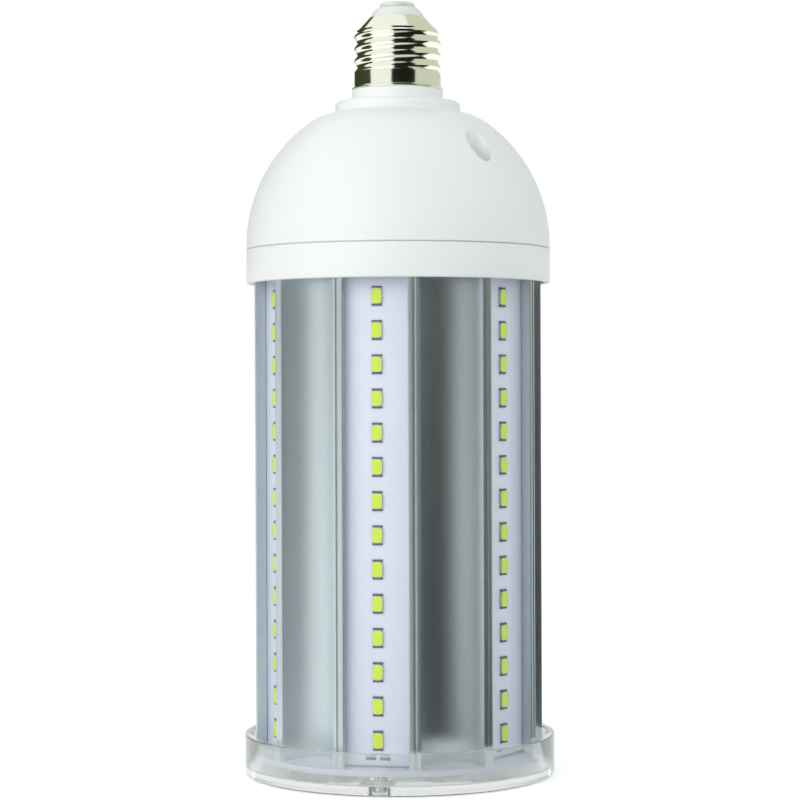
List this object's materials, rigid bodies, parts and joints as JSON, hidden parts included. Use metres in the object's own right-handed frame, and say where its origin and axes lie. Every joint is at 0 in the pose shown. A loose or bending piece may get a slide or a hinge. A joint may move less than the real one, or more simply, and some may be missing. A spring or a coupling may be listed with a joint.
{
  "type": "corn cob led lamp",
  "caption": "Screw-base lamp: white domed housing over a fluted aluminium heat sink with rows of surface-mount LEDs and a clear end cap.",
  "frame": {"origin": "middle of the end cap's underside, on which the lamp stands", "axes": "+Z along the lamp from the end cap to the screw base; LED board 1 faces -Y"},
  "size_m": [0.0934, 0.0934, 0.2325],
  "materials": {
    "contact_metal": "bright nickel",
    "insulator": "satin",
    "nickel": "bright nickel plate",
    "white_housing": "smooth moulded",
    "screw_steel": "zinc plated",
    "anodised_aluminium": "satin anodised",
    "white_board": "white solder mask",
    "led_body": "moulded",
    "phosphor": "silicone",
    "clear_plastic": "clear",
    "green_board": "solder mask",
    "ferrite": "sintered",
    "coil_tape": "tape",
    "capacitor_sleeve": "shrink sleeve",
    "choke_winding": "enamelled copper",
    "film_case": "moulded",
    "black_moulding": "moulded",
    "absorber_coating": "dipped",
    "fuse_body": "lacquered",
    "red_lead": "insulated",
    "black_lead": "insulated",
    "white_lead": "insulated"
  },
  "bodies": {
    "root": {"base_insulator": "insulator", "bridge_rectifier": "black_moulding", "center_contact": "contact_metal", "dome_housing": "white_housing", "dome_screws": "screw_steel", "driver_board": "green_board", "driver_screws": "screw_steel", "end_board": "white_board", "end_cap": "clear_plastic", "end_cap_screws": "screw_steel", "end_leads": "white_lead", "end_led_packages": "led_body", "end_led_phosphor": "phosphor", "film_capacitor": "film_case", "filter_choke": "choke_winding", "fuse": "fuse_body", "heat_sink": "anodised_aluminium", "housing_ring": "white_housing", "input_capacitor": "capacitor_sleeve", "led_board_1": "white_board", "led_board_2": "white_board", "led_board_3": "white_board", "led_board_4": "white_board", "led_board_5": "white_board", "led_board_6": "white_board", "led_packages_1": "led_body", "led_packages_2": "led_body", "led_packages_3": "led_body", "led_packages_4": "led_body", "led_packages_5": "led_body", "led_packages_6": "led_body", "led_phosphor_1": "phosphor", "led_phosphor_2": "phosphor", "led_phosphor_3": "phosphor", "led_phosphor_4": "phosphor", "led_phosphor_5": "phosphor", "led_phosphor_6": "phosphor", "live_lead": "black_lead", "neutral_lead": "white_lead", "output_capacitors": "capacitor_sleeve", "ring_screws": "screw_steel", "screw_shell": "nickel", "strip_leads_negative": "black_lead", "strip_leads_positive": "red_lead", "surge_absorber": "absorber_coating", "switching_transistor": "black_moulding", "transformer_coil": "coil_tape", "transformer_core": "ferrite"}
  },
  "joints": []
}
